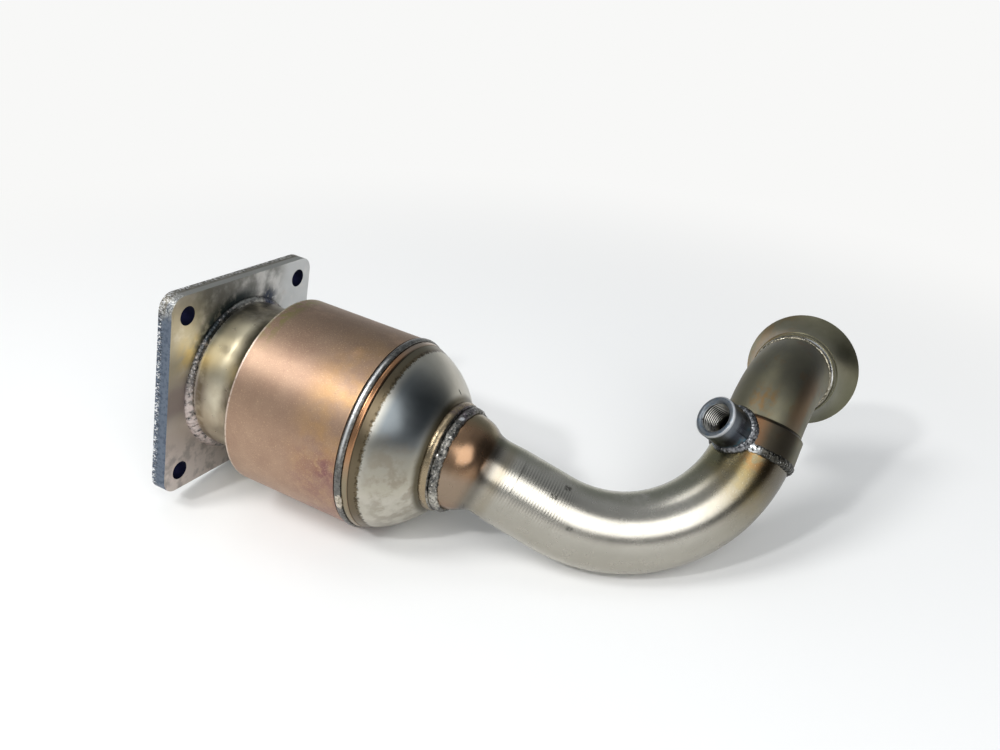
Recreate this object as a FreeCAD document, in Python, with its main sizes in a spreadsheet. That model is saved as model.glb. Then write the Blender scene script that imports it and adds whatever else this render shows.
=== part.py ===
import FreeCAD, Part
import math
import os
import re

import Sketcher
from FreeCAD import Placement, Rotation, Vector

# A catalytic converter as it comes off the car: square bolt flange, short neck, round can with a
# ceramic brick inside, spun outlet cone, belled and bent front pipe, socketed elbow that carries the
# oxygen sensor boss, and a flared outlet. The origin is the centre of the flange's gasket face.
# The part lies as it comes to rest on a flat floor: on the flange's low corner, the seam of the can
# and the outside of the front pipe's bend.

os.makedirs("parts", exist_ok=True)
doc = FreeCAD.newDocument("CatalyticConverter")

# ---------------------------------------------------------------- driving dimensions, mm and degrees
sizes = {
    # how the whole part is turned to lie on the floor
    "lieRoll": -5.5,
    "liePitch": 4.6,
    # inlet flange: laser-cut plate
    "flangeSide": 119.5,
    "flangeThick": 9,
    "flangeCorner": 9,
    "boltInset": 12,
    "boltHole": 11,
    "boltCount": 4,
    # inlet neck: drawn cone that laps inside the can
    "neckOuter": 87,
    "neckWall": 1.5,
    "neckRecess": 2,
    "neckFit": 0.15,
    "neckStraight": 28,
    "neckFlareBow": 2.6,
    "lapGap": 1.5,
    "lapLength": 6.5,
    "lapFit": 0.1,
    # can shell
    "canOuter": 110,
    "shellWall": 1.5,
    "shellStart": 44,
    "shellLength": 70.3,
    # ceramic brick, its mat and its end seals
    "brickOuter": 101.6,
    "brickLength": 60,
    "brickStart": 50,
    "sealLength": 4,
    # outlet cone: spun dome that laps inside the can
    "domeWall": 1.5,
    "lipOuter": 109.2,
    "lipOffset": 4,
    "domeLength": 33.4,
    "domeBow": 4.2,
    "domeNeckOuter": 57.4,
    "domeNeckLength": 3.3,
    # front pipe: belled end with its shoulder and waist, easing bend, straight run and main bend
    "pipeOuter": 44.5,
    "pipeWall": 1.5,
    "bellGap": 1.2,
    "bellMouth": 55.6,
    "bellRim": 2.8,
    "bellRoll": 216.9,
    "bellTilt": 14.7,
    "bellLength": 14.6,
    "shoulderOuter": 50.8,
    "shoulderLength": 4.4,
    "shoulderRound": 0.45,
    "turnAlong": 0.45,
    "turnAcross": 0.4,
    "waistOuter": 43.2,
    "easeRadius": 22,
    "easeAngle": 8.3,
    "taperLength": 13,
    "runLength": 38.1,
    "mainRoll": 105.4,
    "mainRadius": 82,
    "mainAngle": 96,
    "stubLength": 5,
    # elbow: expanded socket, then one tight bend
    "socketFit": 0.3,
    "socketWall": 1.25,
    "socketLength": 14.6,
    "socketStep": 1.8,
    "socketOverlap": 10.3,
    "elbowOuter": 44,
    "elbowRoll": -119,
    "elbowRadius": 47.8,
    "elbowAngle": 62,
    "elbowStub": 5,
    # oxygen sensor boss on the elbow's socket
    "bossOuter": 24,
    "bossHeight": 40.7,
    "bossStation": 4.5,
    "bossRoll": 35.2,
    "bossBore": 16.5,
    "sensorHole": 18,
    "bossChamfer": 1.1,
    "bossEdge": 0.6,
    # outlet flare
    "flareFit": 0.3,
    "flareWall": 3,
    "flareNeckWall": 2,
    "flareStep": 0.6,
    "flareCollar": 4.5,
    "flareLength": 26,
    "flareOuter": 67,
    "flareThroat": 42.4,
    "flareBow": 1.4,
    # weld beads
    "inletBeadLeg": 4.7,
    "inletBeadHeight": 4.2,
    "inletBeadCrown": 0.9,
    "shellBead": 1.2,
    "shellBeadDepth": 1.7,
    "seamBeadWidth": 5,
    "seamBeadHeight": 1.2,
    "seamBeadLap": 0.5,
    "seamBeadRoot": 0.6,
    "outletBeadWidth": 10.5,
    "outletBeadHeight": 2.2,
    "outletBeadLap": 1.05,
    "outletBeadToe": 0.65,
    "jointBeadWidth": 7,
    "jointBeadHeight": 1.8,
    "jointBeadLap": 1.4,
    "jointBeadSink": 1.25,
    "bossBeadLeg": 3.2,
    "bossBeadHeight": 3.4,
    "flareBeadWidth": 4.05,
    "flareBeadHeight": 1,
    "flareBeadLap": 0.45,
    "flareBeadSink": 0.2,
}

sheet = doc.addObject("Spreadsheet::Sheet", "Sizes")
for row, (alias, number) in enumerate(sizes.items(), 1):
    sheet.set(f"A{row}", alias)
    sheet.set(f"B{row}", str(number))
    sheet.setAlias(f"B{row}", alias)
doc.recompute()


# ---------------------------------------------------------------- helpers


def bound(text):
    # names the sheet in front of every size in an expression, and leaves functions such as sqrt alone
    return re.sub(r"\b([A-Za-z]\w*)\b(?!\()", r"Sizes.\1", text)


def size(text):
    return float(sheet.evalExpression(bound(text)))


def feed(length):
    # a step along the tube
    return Placement(Vector(size(length), 0, 0), Rotation())


def roll(angle):
    # a turn about the tube's own axis
    return Placement(Vector(), Rotation(Vector(1, 0, 0), size(angle)))


def tilt(angle):
    # a turn of +X towards +Z
    return Placement(Vector(), Rotation(Vector(0, 1, 0), -size(angle)))


def bend(radius, angle):
    # a bend that turns +X towards +Z
    turn = math.radians(size(angle))
    reach = Vector(size(radius) * math.sin(turn), 0, size(radius) * (1 - math.cos(turn)))
    return Placement(reach, tilt(angle).Rotation)


def newBody(label, seat):
    body = doc.addObject("PartDesign::Body", label)
    body.Label = label
    body.Placement = seat
    return body


def newSketch(body, name, role, frame=Placement()):
    # a sketch on one of the body's origin planes, carried along by a frame within the body
    sketch = body.newObject("Sketcher::SketchObject", name)
    plane = next(item for item in body.Origin.OriginFeatures if item.Role == role)
    sketch.AttachmentSupport = [(plane, "")]
    sketch.MapMode = "FlatFace"
    turned = plane.Placement
    sketch.AttachmentOffset = turned.inverse() * frame * turned
    return sketch


def bindPoint(sketch, curve, end, across, along):
    # ties one point of a sketch to the sheet, measured from the sketch's origin
    for kind, axis, text in (("DistanceX", -2, across), ("DistanceY", -1, along)):
        number = size(text)
        if number == 0:
            sketch.addConstraint(Sketcher.Constraint("PointOnObject", curve, end, axis))
        elif number > 0:
            index = sketch.addConstraint(Sketcher.Constraint(kind, -1, 1, curve, end, number))
            sketch.setExpression(f"Constraints[{index}]", bound(text))
        else:
            index = sketch.addConstraint(Sketcher.Constraint(kind, curve, end, -1, 1, -number))
            sketch.setExpression(f"Constraints[{index}]", bound(f"-({text})"))


def drawLine(sketch, points, closed=True):
    # draws lines and arcs through (across, along) expressions; a third entry "arc" marks a point that
    # an arc passes through on its way to the next corner
    spots = [Vector(size(point[0]), size(point[1]), 0) for point in points]
    count = len(points)
    corners = [index for index in range(count) if len(points[index]) == 2]
    last = len(corners) if closed else len(corners) - 1
    ends = []
    for index in range(last):
        start, stop = corners[index], corners[(index + 1) % len(corners)]
        middle = (start + 1) % count
        if middle == stop:
            curve = sketch.addGeometry(Part.LineSegment(spots[start], spots[stop]), False)
        else:
            curve = sketch.addGeometry(Part.Arc(spots[start], spots[middle], spots[stop]), False)
        forward = sketch.getPoint(curve, 1).distanceToPoint(spots[start]) < 1e-6
        ends.append((curve, 1 if forward else 2, 2 if forward else 1))
        bindPoint(sketch, curve, ends[-1][1], *points[start][:2])
        if not closed and index == last - 1:
            bindPoint(sketch, curve, ends[-1][2], *points[stop][:2])
        if middle != stop:
            mark = sketch.addGeometry(Part.Point(spots[middle]), True)
            bindPoint(sketch, mark, 1, *points[middle][:2])
            sketch.addConstraint(Sketcher.Constraint("PointOnObject", mark, 1, curve))
    for index in range(len(ends) if closed else len(ends) - 1):
        here, after = ends[index], ends[(index + 1) % len(ends)]
        sketch.addConstraint(Sketcher.Constraint("Coincident", here[0], here[2], after[0], after[1]))
    return sketch


def drawCircles(sketch, *diameters, centre=("0", "0")):
    for diameter in diameters:
        spot = Vector(size(centre[0]), size(centre[1]), 0)
        curve = sketch.addGeometry(Part.Circle(spot, Vector(0, 0, 1), size(diameter) / 2), False)
        bindPoint(sketch, curve, 3, *centre)
        index = sketch.addConstraint(Sketcher.Constraint("Diameter", curve, size(diameter)))
        sketch.setExpression(f"Constraints[{index}]", bound(diameter))
    return sketch


def arcPoint(start, stop, rise):
    # the middle point of an arc between two corners, raised to the left of the way from one to the other
    run = f"(({stop[0]}) - ({start[0]}))"
    lift = f"(({stop[1]}) - ({start[1]}))"
    chord = f"sqrt({run}^2 + {lift}^2)"
    across = f"(({start[0]}) + ({stop[0]})) / 2 - ({rise}) * {lift} / {chord}"
    along = f"(({start[1]}) + ({stop[1]})) / 2 + ({rise}) * {run} / {chord}"
    return (across, along, "arc")


def turned(body, name, points, frame=Placement(), cut=False):
    # a ring turned from (distance along the axis, radius) points
    sketch = drawLine(newSketch(body, name + "Profile", "XZ_Plane", frame), points)
    kind = "PartDesign::Groove" if cut else "PartDesign::Revolution"
    ring = body.newObject(kind, name)
    ring.Profile = sketch
    ring.ReferenceAxis = (sketch, ["H_Axis"])
    ring.Angle = 360
    doc.recompute()
    return ring


def swept(body, name, path, diameters, frame=Placement(), cut=False):
    # a tube, or a bore, swept along a path in the frame's XZ plane that sets out along +X
    route = drawLine(newSketch(body, name + "Path", "XZ_Plane", frame), path, closed=False)
    start = frame * feed(path[0][0])
    section = drawCircles(newSketch(body, name + "Section", "YZ_Plane", start), *diameters)
    kind = "PartDesign::SubtractivePipe" if cut else "PartDesign::AdditivePipe"
    tube = body.newObject(kind, name)
    tube.Profile = section
    edges = sum(1 for item in route.Geometry if item.TypeId != "Part::GeomPoint")
    tube.Spine = (route, [f"Edge{index + 1}" for index in range(edges)])
    doc.recompute()
    return tube


def bored(body, name, diameters, depth, frame=Placement(), reverse=False):
    # a round cut along +X of the frame, or along -X where it is reversed
    section = drawCircles(newSketch(body, name + "Section", "YZ_Plane", frame), *diameters)
    hole = body.newObject("PartDesign::Pocket", name)
    hole.Profile = section
    hole.Type = "Length"
    hole.Length = size(depth)
    hole.setExpression("Length", bound(depth))
    hole.Reversed = not reverse
    doc.recompute()
    return hole


def lofted(body, name, rings, cut=False):
    # a skin through round sections, each given by its frame within the body and its diameter
    sections = []
    for index, (frame, diameter) in enumerate(rings):
        sketch = newSketch(body, f"{name}Ring{index}", "YZ_Plane", frame)
        sections.append(drawCircles(sketch, diameter))
    loft = body.newObject("PartDesign::SubtractiveLoft" if cut else "PartDesign::AdditiveLoft", name)
    loft.Profile = sections[0]
    loft.Sections = sections[1:]
    doc.recompute()
    return loft


# ---------------------------------------------------------------- stations, radii and frames

canR = "canOuter / 2"
shellBore = f"{canR} - shellWall"
shellEnd = "shellStart + shellLength"
lapR = f"{shellBore} - lapFit"
neckR = "neckOuter / 2"
lapStart = "shellStart + lapGap"
lapEnd = f"{lapStart} + lapLength"
domeLapStart = f"{shellEnd} - lapLength"
lipX = f"{shellEnd} + lipOffset"
lipR = "lipOuter / 2"
domeEnd = f"{lipX} + domeLength"
domeNeckR = "domeNeckOuter / 2"
domeNeckEnd = f"{domeEnd} + domeNeckLength"
pipeR = "pipeOuter / 2"
socketBore = f"{pipeR} + socketFit"
socketR = f"{socketBore} + socketWall"
elbowR = "elbowOuter / 2"
flareBore = f"{elbowR} + flareFit"
flareNeckR = f"{flareBore} + flareNeckWall"

# the tube's centre line, as frames that run from the flange to the outlet: +X along the tube
lie = Placement(Vector(), Rotation(0, size("liePitch"), size("lieRoll")))
rimFrame = feed(f"{domeNeckEnd} + bellGap")
bellFrame = rimFrame * feed("bellRim") * roll("bellRoll") * tilt("bellTilt")
waistFrame = bellFrame * feed("bellLength")
runFrame = waistFrame * bend("easeRadius", "easeAngle") * roll("mainRoll")
pipeEnd = runFrame * feed("runLength") * bend("mainRadius", "mainAngle") * feed("stubLength")
socketFrame = pipeEnd * feed("-socketOverlap")
elbowFrame = socketFrame * feed("socketLength + socketStep") * roll("elbowRoll")
flareFrame = elbowFrame * bend("elbowRadius", "elbowAngle")
bossFrame = socketFrame * feed("bossStation") * roll("bossRoll") * tilt("90")


def arcPath(straight, radius, angle, tail):
    # a straight, a bend towards +Z and a straight tail, as points for drawLine
    middle = (f"{straight} + {radius} * sin({angle} / 2)", f"{radius} * (1 - cos({angle} / 2))", "arc")
    bendEnd = (f"{straight} + {radius} * sin({angle})", f"{radius} * (1 - cos({angle}))")
    tailEnd = (f"{bendEnd[0]} + ({tail}) * cos({angle})", f"{bendEnd[1]} + ({tail}) * sin({angle})")
    return [(straight, "0"), middle, bendEnd, tailEnd]


# ---------------------------------------------------------------- inlet flange, neck and can


def inletFlange():
    body = newBody("inlet_flange", lie)
    half = "flangeSide / 2"
    square = [(f"-{half}", f"-{half}"), (half, f"-{half}"), (half, half), (f"-{half}", half)]
    plate = body.newObject("PartDesign::Pad", "plate")
    plate.Profile = drawLine(newSketch(body, "plateProfile", "YZ_Plane"), square)
    plate.Length = size("flangeThick")
    plate.setExpression("Length", bound("flangeThick"))
    doc.recompute()
    corners = body.newObject("PartDesign::Fillet", "corners")
    depthEdges = [
        f"Edge{index + 1}"
        for index, edge in enumerate(plate.Shape.Edges)
        if abs(edge.tangentAt(edge.FirstParameter).x) > 0.99
    ]
    corners.Base = (plate, depthEdges)
    corners.Radius = size("flangeCorner")
    corners.setExpression("Radius", bound("flangeCorner"))
    doc.recompute()
    bored(body, "neckBore", ["neckOuter + 2 * neckFit"], "flangeThick")
    corner = newSketch(body, "boltHoleSection", "YZ_Plane", roll("45"))
    drawCircles(corner, "boltHole", centre=("sqrt(2) * (flangeSide / 2 - boltInset)", "0"))
    hole = body.newObject("PartDesign::Pocket", "boltHoleCut")
    hole.Profile = corner
    hole.Length = size("flangeThick")
    hole.setExpression("Length", bound("flangeThick"))
    hole.Reversed = True
    doc.recompute()
    holes = body.newObject("PartDesign::PolarPattern", "boltHoles")
    holes.Originals = [hole]
    holes.Axis = (corner, ["N_Axis"])
    holes.Angle = 360
    holes.Occurrences = int(size("boltCount"))
    body.Tip = holes
    doc.recompute()


def neckOutline(inset):
    # one side of the neck's wall, from the flange to the end of its lap
    bell = ("neckStraight", f"{neckR} - {inset}")
    lap = (f"{lapStart}", f"{lapR} - {inset}")
    return [
        ("neckRecess", f"{neckR} - {inset}"),
        bell,
        arcPoint(bell, lap, "-neckFlareBow"),
        lap,
        (lapEnd, f"{lapR} - {inset}"),
    ]


def inletCone():
    body = newBody("inlet_cone", lie)
    turned(body, "neckWallRing", neckOutline("0") + neckOutline("neckWall")[::-1])


def inletWeld():
    body = newBody("inlet_weld", lie)
    onNeck = ("flangeThick + inletBeadHeight", neckR)
    onFlange = ("flangeThick", f"{neckR} + inletBeadLeg")
    bead = [("flangeThick", neckR), onNeck, arcPoint(onNeck, onFlange, "-inletBeadCrown"), onFlange]
    turned(body, "bead", bead)


def canShell():
    body = newBody("can_shell", lie)
    wall = [("shellStart", shellBore), ("shellStart", canR), (shellEnd, canR), (shellEnd, shellBore)]
    turned(body, "wall", wall)


def shellWeld():
    # the hidden bead in the groove between the shell's inlet edge and the neck
    body = newBody("shell_weld", lie)
    start = f"{lapStart} - shellBead"
    root = f"{shellBore} - shellBeadDepth"
    turned(body, "bead", [(start, shellBore), (lapStart, shellBore), (lapStart, root), (start, root)])
    neck = [("neckRecess", "0")] + neckOutline("(-lapFit)") + [(lapEnd, "0")]
    turned(body, "neckClear", neck, cut=True)


# ---------------------------------------------------------------- what the can holds


def filling(label, start, stop, inner, outer):
    body = newBody(label, lie)
    turned(body, "ring", [(start, inner), (start, outer), (stop, outer), (stop, inner)])


def canFilling():
    brickR = "brickOuter / 2"
    filling("ceramic_brick", "brickStart", "brickStart + brickLength", "0", brickR)
    filling("mesh_seal_inlet", lapEnd, f"{lapEnd} + sealLength", brickR, shellBore)
    filling("support_mat", f"{lapEnd} + sealLength", f"{domeLapStart} - sealLength", brickR, shellBore)
    filling("mesh_seal_outlet", f"{domeLapStart} - sealLength", domeLapStart, brickR, shellBore)


# ---------------------------------------------------------------- outlet cone


def domeOutline(inset):
    # one side of the dome's wall, from the start of its lap to the end of its neck
    lip = (lipX, f"{lipR} - {inset}")
    neck = (f"{domeEnd} - {inset}", f"{domeNeckR} - {inset}")
    return [
        (domeLapStart, f"{lapR} - {inset}"),
        (f"{shellEnd}", f"{lapR} - {inset}"),
        lip,
        arcPoint(lip, neck, "domeBow"),
        neck,
        (domeNeckEnd, f"{domeNeckR} - {inset}"),
    ]


def domeFill(body, name):
    # clears the space that the dome takes out of a bead
    turned(body, name, [(domeLapStart, "0")] + domeOutline("0") + [(domeNeckEnd, "0")], cut=True)


def outletCone():
    body = newBody("outlet_cone", lie)
    turned(body, "domeWallRing", domeOutline("0") + domeOutline("domeWall")[::-1])


def seamWeld():
    body = newBody("seam_weld", lie)
    onShell = (f"{shellEnd} - seamBeadLap", canR)
    onDome = (f"{onShell[0]} + seamBeadWidth", f"{lipR} - seamBeadRoot")
    root = f"{lapR} - seamBeadRoot"
    bead = [
        onShell,
        arcPoint(onShell, onDome, "seamBeadHeight"),
        onDome,
        (onDome[0], root),
        (shellEnd, root),
        (shellEnd, canR),
    ]
    turned(body, "bead", bead)
    domeFill(body, "domeClear")


# ---------------------------------------------------------------- front pipe


def bellMouthSkin(body, name, home, inset, cut=False):
    # the bell from its rim, which is square to the can, to its shoulder, which is square to the bell
    shoulder = bellFrame * feed("bellLength - shoulderLength") * roll("-bellRoll")
    rings = [(rimFrame, f"bellMouth - 2 * ({inset})"), (shoulder, f"shoulderOuter - 2 * ({inset})")]
    return lofted(body, name, [(home.inverse() * frame, width) for frame, width in rings], cut)


def shoulderOutline(inset):
    # the rounded shoulder and the hollow behind it; the inner side leads, to keep the wall even
    start = ("-shoulderLength", f"shoulderOuter / 2 - {inset}")
    turnR = "(waistOuter + turnAcross * (shoulderOuter - waistOuter)) / 2"
    turn = (f"-turnAlong * shoulderLength - {inset} / 2", f"{turnR} - {inset}")
    waist = ("0", f"waistOuter / 2 - {inset}")
    return [
        start,
        arcPoint(start, turn, "shoulderRound"),
        turn,
        arcPoint(turn, waist, "-shoulderRound"),
        waist,
    ]


def pipePath():
    # from the end of the taper, along the run, round the main bend and into the socket
    return [("taperLength", "0")] + arcPath("runLength", "mainRadius", "mainAngle", "stubLength")


def pipeWalls(outer):
    return [outer, f"{outer} - 2 * pipeWall"]


def frontPipe():
    body = newBody("front_pipe", lie * runFrame)
    home = runFrame.inverse()
    bellMouthSkin(body, "mouth", runFrame, "0")
    shoulder = shoulderOutline("0") + shoulderOutline("pipeWall")[::-1]
    turned(body, "shoulder", shoulder, home * waistFrame)
    bendEnd = ("easeRadius * sin(easeAngle)", "easeRadius * (1 - cos(easeAngle))")
    ease = [("0", "0"), arcPath("0", "easeRadius", "easeAngle", "0")[1], bendEnd]
    swept(body, "ease", ease, pipeWalls("waistOuter"), home * waistFrame)
    taper = [
        ("0", "waistOuter / 2"),
        ("taperLength", pipeR),
        ("taperLength", f"{pipeR} - pipeWall"),
        ("0", "waistOuter / 2 - pipeWall"),
    ]
    turned(body, "taper", taper)
    swept(body, "tube", pipePath(), pipeWalls("pipeOuter"))
    bellMouthSkin(body, "mouthBore", runFrame, "pipeWall", cut=True)
    bored(body, "sensorHole", ["sensorHole"], "bossHeight", home * bossFrame)


def pipeClear(body, name, home):
    # clears the space that the front pipe takes out of a bead or a foot
    swept(body, name, pipePath(), ["pipeOuter"], home.inverse() * runFrame, cut=True)


def outletWeld():
    # the wide bead that bridges the dome's neck and the rim of the bell
    body = newBody("outlet_weld", lie)
    root = "bellMouth / 2 - pipeWall"
    onDome = (f"{domeEnd} - outletBeadLap", f"{domeNeckR} + outletBeadToe")
    onBell = (f"{onDome[0]} + outletBeadWidth", "bellMouth / 2")
    bead = [
        (onDome[0], root),
        onDome,
        arcPoint(onDome, onBell, "outletBeadHeight"),
        onBell,
        (onBell[0], root),
    ]
    turned(body, "bead", bead)
    domeFill(body, "domeClear")
    bellMouthSkin(body, "bellClear", Placement(), "0", cut=True)


# ---------------------------------------------------------------- elbow with its socket


def elbowPath():
    return arcPath("0", "elbowRadius", "elbowAngle", "elbowStub")[1:]


def outletElbow():
    body = newBody("outlet_elbow", lie * socketFrame)
    stepEnd = "socketLength + socketStep"
    socket = [
        ("0", socketBore),
        ("0", socketR),
        ("socketLength", socketR),
        (stepEnd, elbowR),
        (stepEnd, f"{elbowR} - socketWall"),
        ("socketLength", f"{socketR} - socketWall"),
    ]
    turned(body, "socket", socket)
    home = socketFrame.inverse() * elbowFrame
    diameters = ["elbowOuter", "elbowOuter - 2 * socketWall"]
    swept(body, "elbow", [("0", "0")] + elbowPath(), diameters, home)
    bored(body, "sensorHole", ["sensorHole"], "bossHeight", socketFrame.inverse() * bossFrame)


def elbowClear(body, name, home):
    # clears the space that the elbow takes out of a bead
    swept(body, name, [("0", "0")] + elbowPath(), ["elbowOuter"], home.inverse() * elbowFrame, cut=True)


def jointWeld():
    # the heavy bead between the front pipe and the mouth of the socket, open round the sensor boss
    body = newBody("joint_weld", lie * socketFrame)
    onPipe = ("jointBeadLap - jointBeadWidth", f"{pipeR} - jointBeadSink")
    onSocket = ("jointBeadLap", socketR)
    root = f"{pipeR} - 2 * jointBeadSink"
    bead = [onPipe, arcPoint(onPipe, onSocket, "jointBeadHeight"), onSocket, ("0", socketR)]
    turned(body, "bead", bead + [("0", root), (onPipe[0], root)])
    pipeClear(body, "pipeClear", socketFrame)
    reach = "bossOuter + 2 * bossBeadLeg"
    bored(body, "bossClear", [reach], "bossHeight", socketFrame.inverse() * bossFrame)


# ---------------------------------------------------------------- oxygen sensor boss


def seatOnTubes(body):
    # shapes a foot to the socket and, short of the socket's mouth, to the front pipe
    home = bossFrame.inverse() * socketFrame
    bored(body, "socketSeat", [f"2 * ({socketR})"], "socketLength + bossOuter", home)
    pipeClear(body, "pipeSeat", bossFrame)


footR = "bossOuter / 2 + bossBeadLeg"
footDepth = f"sqrt(({pipeR})^2 - ({footR})^2) - bossEdge"


def sensorBoss():
    body = newBody("sensor_boss", lie * bossFrame)
    outer = "bossOuter / 2"
    bore = "bossBore / 2"
    profile = [
        (footDepth, bore),
        (footDepth, outer),
        ("bossHeight - bossEdge", outer),
        ("bossHeight", f"{outer} - bossEdge"),
        ("bossHeight", f"{bore} + bossChamfer"),
        ("bossHeight - bossChamfer", bore),
    ]
    turned(body, "boss", profile)
    seatOnTubes(body)


def sensorBossWeld():
    # the saddle-shaped fillet bead round the boss
    body = newBody("sensor_boss_weld", lie * bossFrame)
    outer = "bossOuter / 2"
    crest = f"{socketR} + bossBeadHeight"
    toe = f"{socketR} - bossEdge"
    profile = [(footDepth, outer), (f"{crest} + bossEdge", outer), (toe, footR), (footDepth, footR)]
    turned(body, "bead", profile)
    seatOnTubes(body)
    # the crest dips with the tube on both sides of the boss
    saddle = bossFrame.inverse() * socketFrame * feed(f"-2 * ({footR})")
    bored(body, "saddle", [f"2 * ({crest})", f"4 * ({crest})"], "4 * bossOuter", saddle)


# ---------------------------------------------------------------- outlet flare


def outletFlare():
    body = newBody("outlet_flare", lie * flareFrame)
    seat = "elbowStub + flareFit"
    throat = "flareThroat / 2"
    stepX = "flareCollar + flareStep"
    neckOut = (stepX, f"{flareNeckR} + flareStep")
    rimOut = ("flareLength - flareWall / 2", "flareOuter / 2")
    rimIn = ("flareLength", "flareOuter / 2 - flareWall / 2")
    throatEnd = (f"{seat} + flareWall", throat)
    profile = [
        ("0", flareBore),
        ("0", flareNeckR),
        ("flareCollar", flareNeckR),
        neckOut,
        arcPoint(neckOut, rimOut, "-flareBow"),
        rimOut,
        ("flareLength", "flareOuter / 2 - flareWall / 4"),
        rimIn,
        arcPoint(rimIn, throatEnd, "flareBow"),
        throatEnd,
        (seat, throat),
        (seat, flareBore),
    ]
    turned(body, "flare", profile)


def flareWeld():
    body = newBody("flare_weld", lie * flareFrame)
    onTube = ("flareBeadLap - flareBeadWidth", f"{elbowR} - flareBeadSink")
    onFlare = ("flareBeadLap", flareNeckR)
    root = f"{elbowR} - 2 * flareBeadSink"
    bead = [onTube, arcPoint(onTube, onFlare, "flareBeadHeight"), onFlare, ("0", flareNeckR)]
    turned(body, "bead", bead + [("0", root), (onTube[0], root)])
    elbowClear(body, "elbowClear", flareFrame)


inletFlange()
inletCone()
inletWeld()
canShell()
shellWeld()
canFilling()
outletCone()
seamWeld()
frontPipe()
outletWeld()
outletElbow()
jointWeld()
sensorBoss()
sensorBossWeld()
outletFlare()
flareWeld()
doc.recompute()

failed = [item.Label for item in doc.Objects if {"Invalid", "Error"} & set(item.State)]
bodies = [item for item in doc.Objects if item.TypeId == "PartDesign::Body"]
for body in bodies:
    if body.Shape.isNull() or not body.Shape.isValid() or not body.Shape.Solids:
        failed.append(body.Label)
if failed:
    raise RuntimeError("not built: " + ", ".join(failed))
for body in bodies:
    body.Shape.exportStep(f"parts/{body.Label}.step")
    print(body.Label, len(body.Shape.Solids), round(body.Shape.Volume))
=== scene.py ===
import math

import bmesh
import bpy
from mathutils import Matrix, Vector, noise


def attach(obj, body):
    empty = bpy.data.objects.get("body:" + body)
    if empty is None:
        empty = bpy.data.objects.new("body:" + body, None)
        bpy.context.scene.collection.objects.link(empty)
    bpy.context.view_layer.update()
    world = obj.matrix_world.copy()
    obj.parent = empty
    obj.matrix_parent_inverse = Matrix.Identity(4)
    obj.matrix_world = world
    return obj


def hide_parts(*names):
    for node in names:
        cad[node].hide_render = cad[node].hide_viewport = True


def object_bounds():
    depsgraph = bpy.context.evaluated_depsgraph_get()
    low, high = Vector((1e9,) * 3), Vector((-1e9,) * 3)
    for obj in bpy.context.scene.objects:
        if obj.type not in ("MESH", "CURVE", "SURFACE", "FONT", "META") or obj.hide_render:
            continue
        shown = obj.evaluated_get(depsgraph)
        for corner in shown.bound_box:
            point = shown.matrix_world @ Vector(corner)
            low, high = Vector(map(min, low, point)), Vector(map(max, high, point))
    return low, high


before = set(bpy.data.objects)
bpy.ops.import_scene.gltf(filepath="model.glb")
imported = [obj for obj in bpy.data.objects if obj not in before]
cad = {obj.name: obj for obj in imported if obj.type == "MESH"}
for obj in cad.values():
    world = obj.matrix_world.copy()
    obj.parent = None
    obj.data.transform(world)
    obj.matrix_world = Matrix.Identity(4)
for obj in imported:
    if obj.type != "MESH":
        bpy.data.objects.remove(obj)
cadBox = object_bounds()
floorLevel = cadBox[0].z
mm = 0.001

# The centre line of the converter, in millimetres and degrees, as on the solids: from the gasket face
# of the flange (the origin) along the can, then down the bent pipe to the flared outlet.
line = {
    "roll": -5.5,  # how the part leans to lie on the floor
    "pitch": 4.6,
    "bellX": 159.0,  # where the pipe's bell leaves the can's axis
    "bellRoll": 216.9,
    "bellTilt": 14.7,
    "bellLength": 14.6,
    "easeRadius": 22.0,
    "easeAngle": 8.3,
    "mainRoll": 105.4,
    "runLength": 38.1,
    "mainRadius": 82.0,
    "mainAngle": 96.0,
    "stub": 5.0,
    "overlap": 10.3,  # how far the socket slides over the pipe
    "socket": 16.4,
    "elbowRoll": -119.0,
    "elbowRadius": 47.8,
    "elbowAngle": 62.0,
    "bossStation": 4.5,
    "bossRoll": 35.2,
}


def feed(length):
    return Matrix.Translation((length, 0, 0))


def roll(angle):
    return Matrix.Rotation(math.radians(angle), 4, "X")


def tilt(angle):
    return Matrix.Rotation(math.radians(-angle), 4, "Y")


def bend(radius, angle):  # turns +X towards +Z
    turn = math.radians(angle)
    return Matrix.Translation((radius * math.sin(turn), 0, radius * (1 - math.cos(turn)))) @ tilt(angle)


lie = tilt(-line["pitch"]) @ roll(line["roll"])
bellPlace = lie @ feed(line["bellX"]) @ roll(line["bellRoll"]) @ tilt(line["bellTilt"])
waistPlace = bellPlace @ feed(line["bellLength"])
runPlace = waistPlace @ bend(line["easeRadius"], line["easeAngle"]) @ roll(line["mainRoll"])
bendPlace = runPlace @ feed(line["runLength"])
pipeEnd = bendPlace @ bend(line["mainRadius"], line["mainAngle"]) @ feed(line["stub"])
socketPlace = pipeEnd @ feed(-line["overlap"])
elbowPlace = socketPlace @ feed(line["socket"]) @ roll(line["elbowRoll"])
flarePlace = elbowPlace @ bend(line["elbowRadius"], line["elbowAngle"])
bossPlace = socketPlace @ feed(line["bossStation"]) @ roll(line["bossRoll"]) @ tilt(90)


def toLinear(text):
    # an sRGB hex colour as the linear numbers that the shader wants
    parts = [int(text[i:i + 2], 16) / 255 for i in (1, 3, 5)]
    return [c / 12.92 if c <= 0.04045 else ((c + 0.055) / 1.055) ** 2.4 for c in parts] + [1.0]


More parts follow.
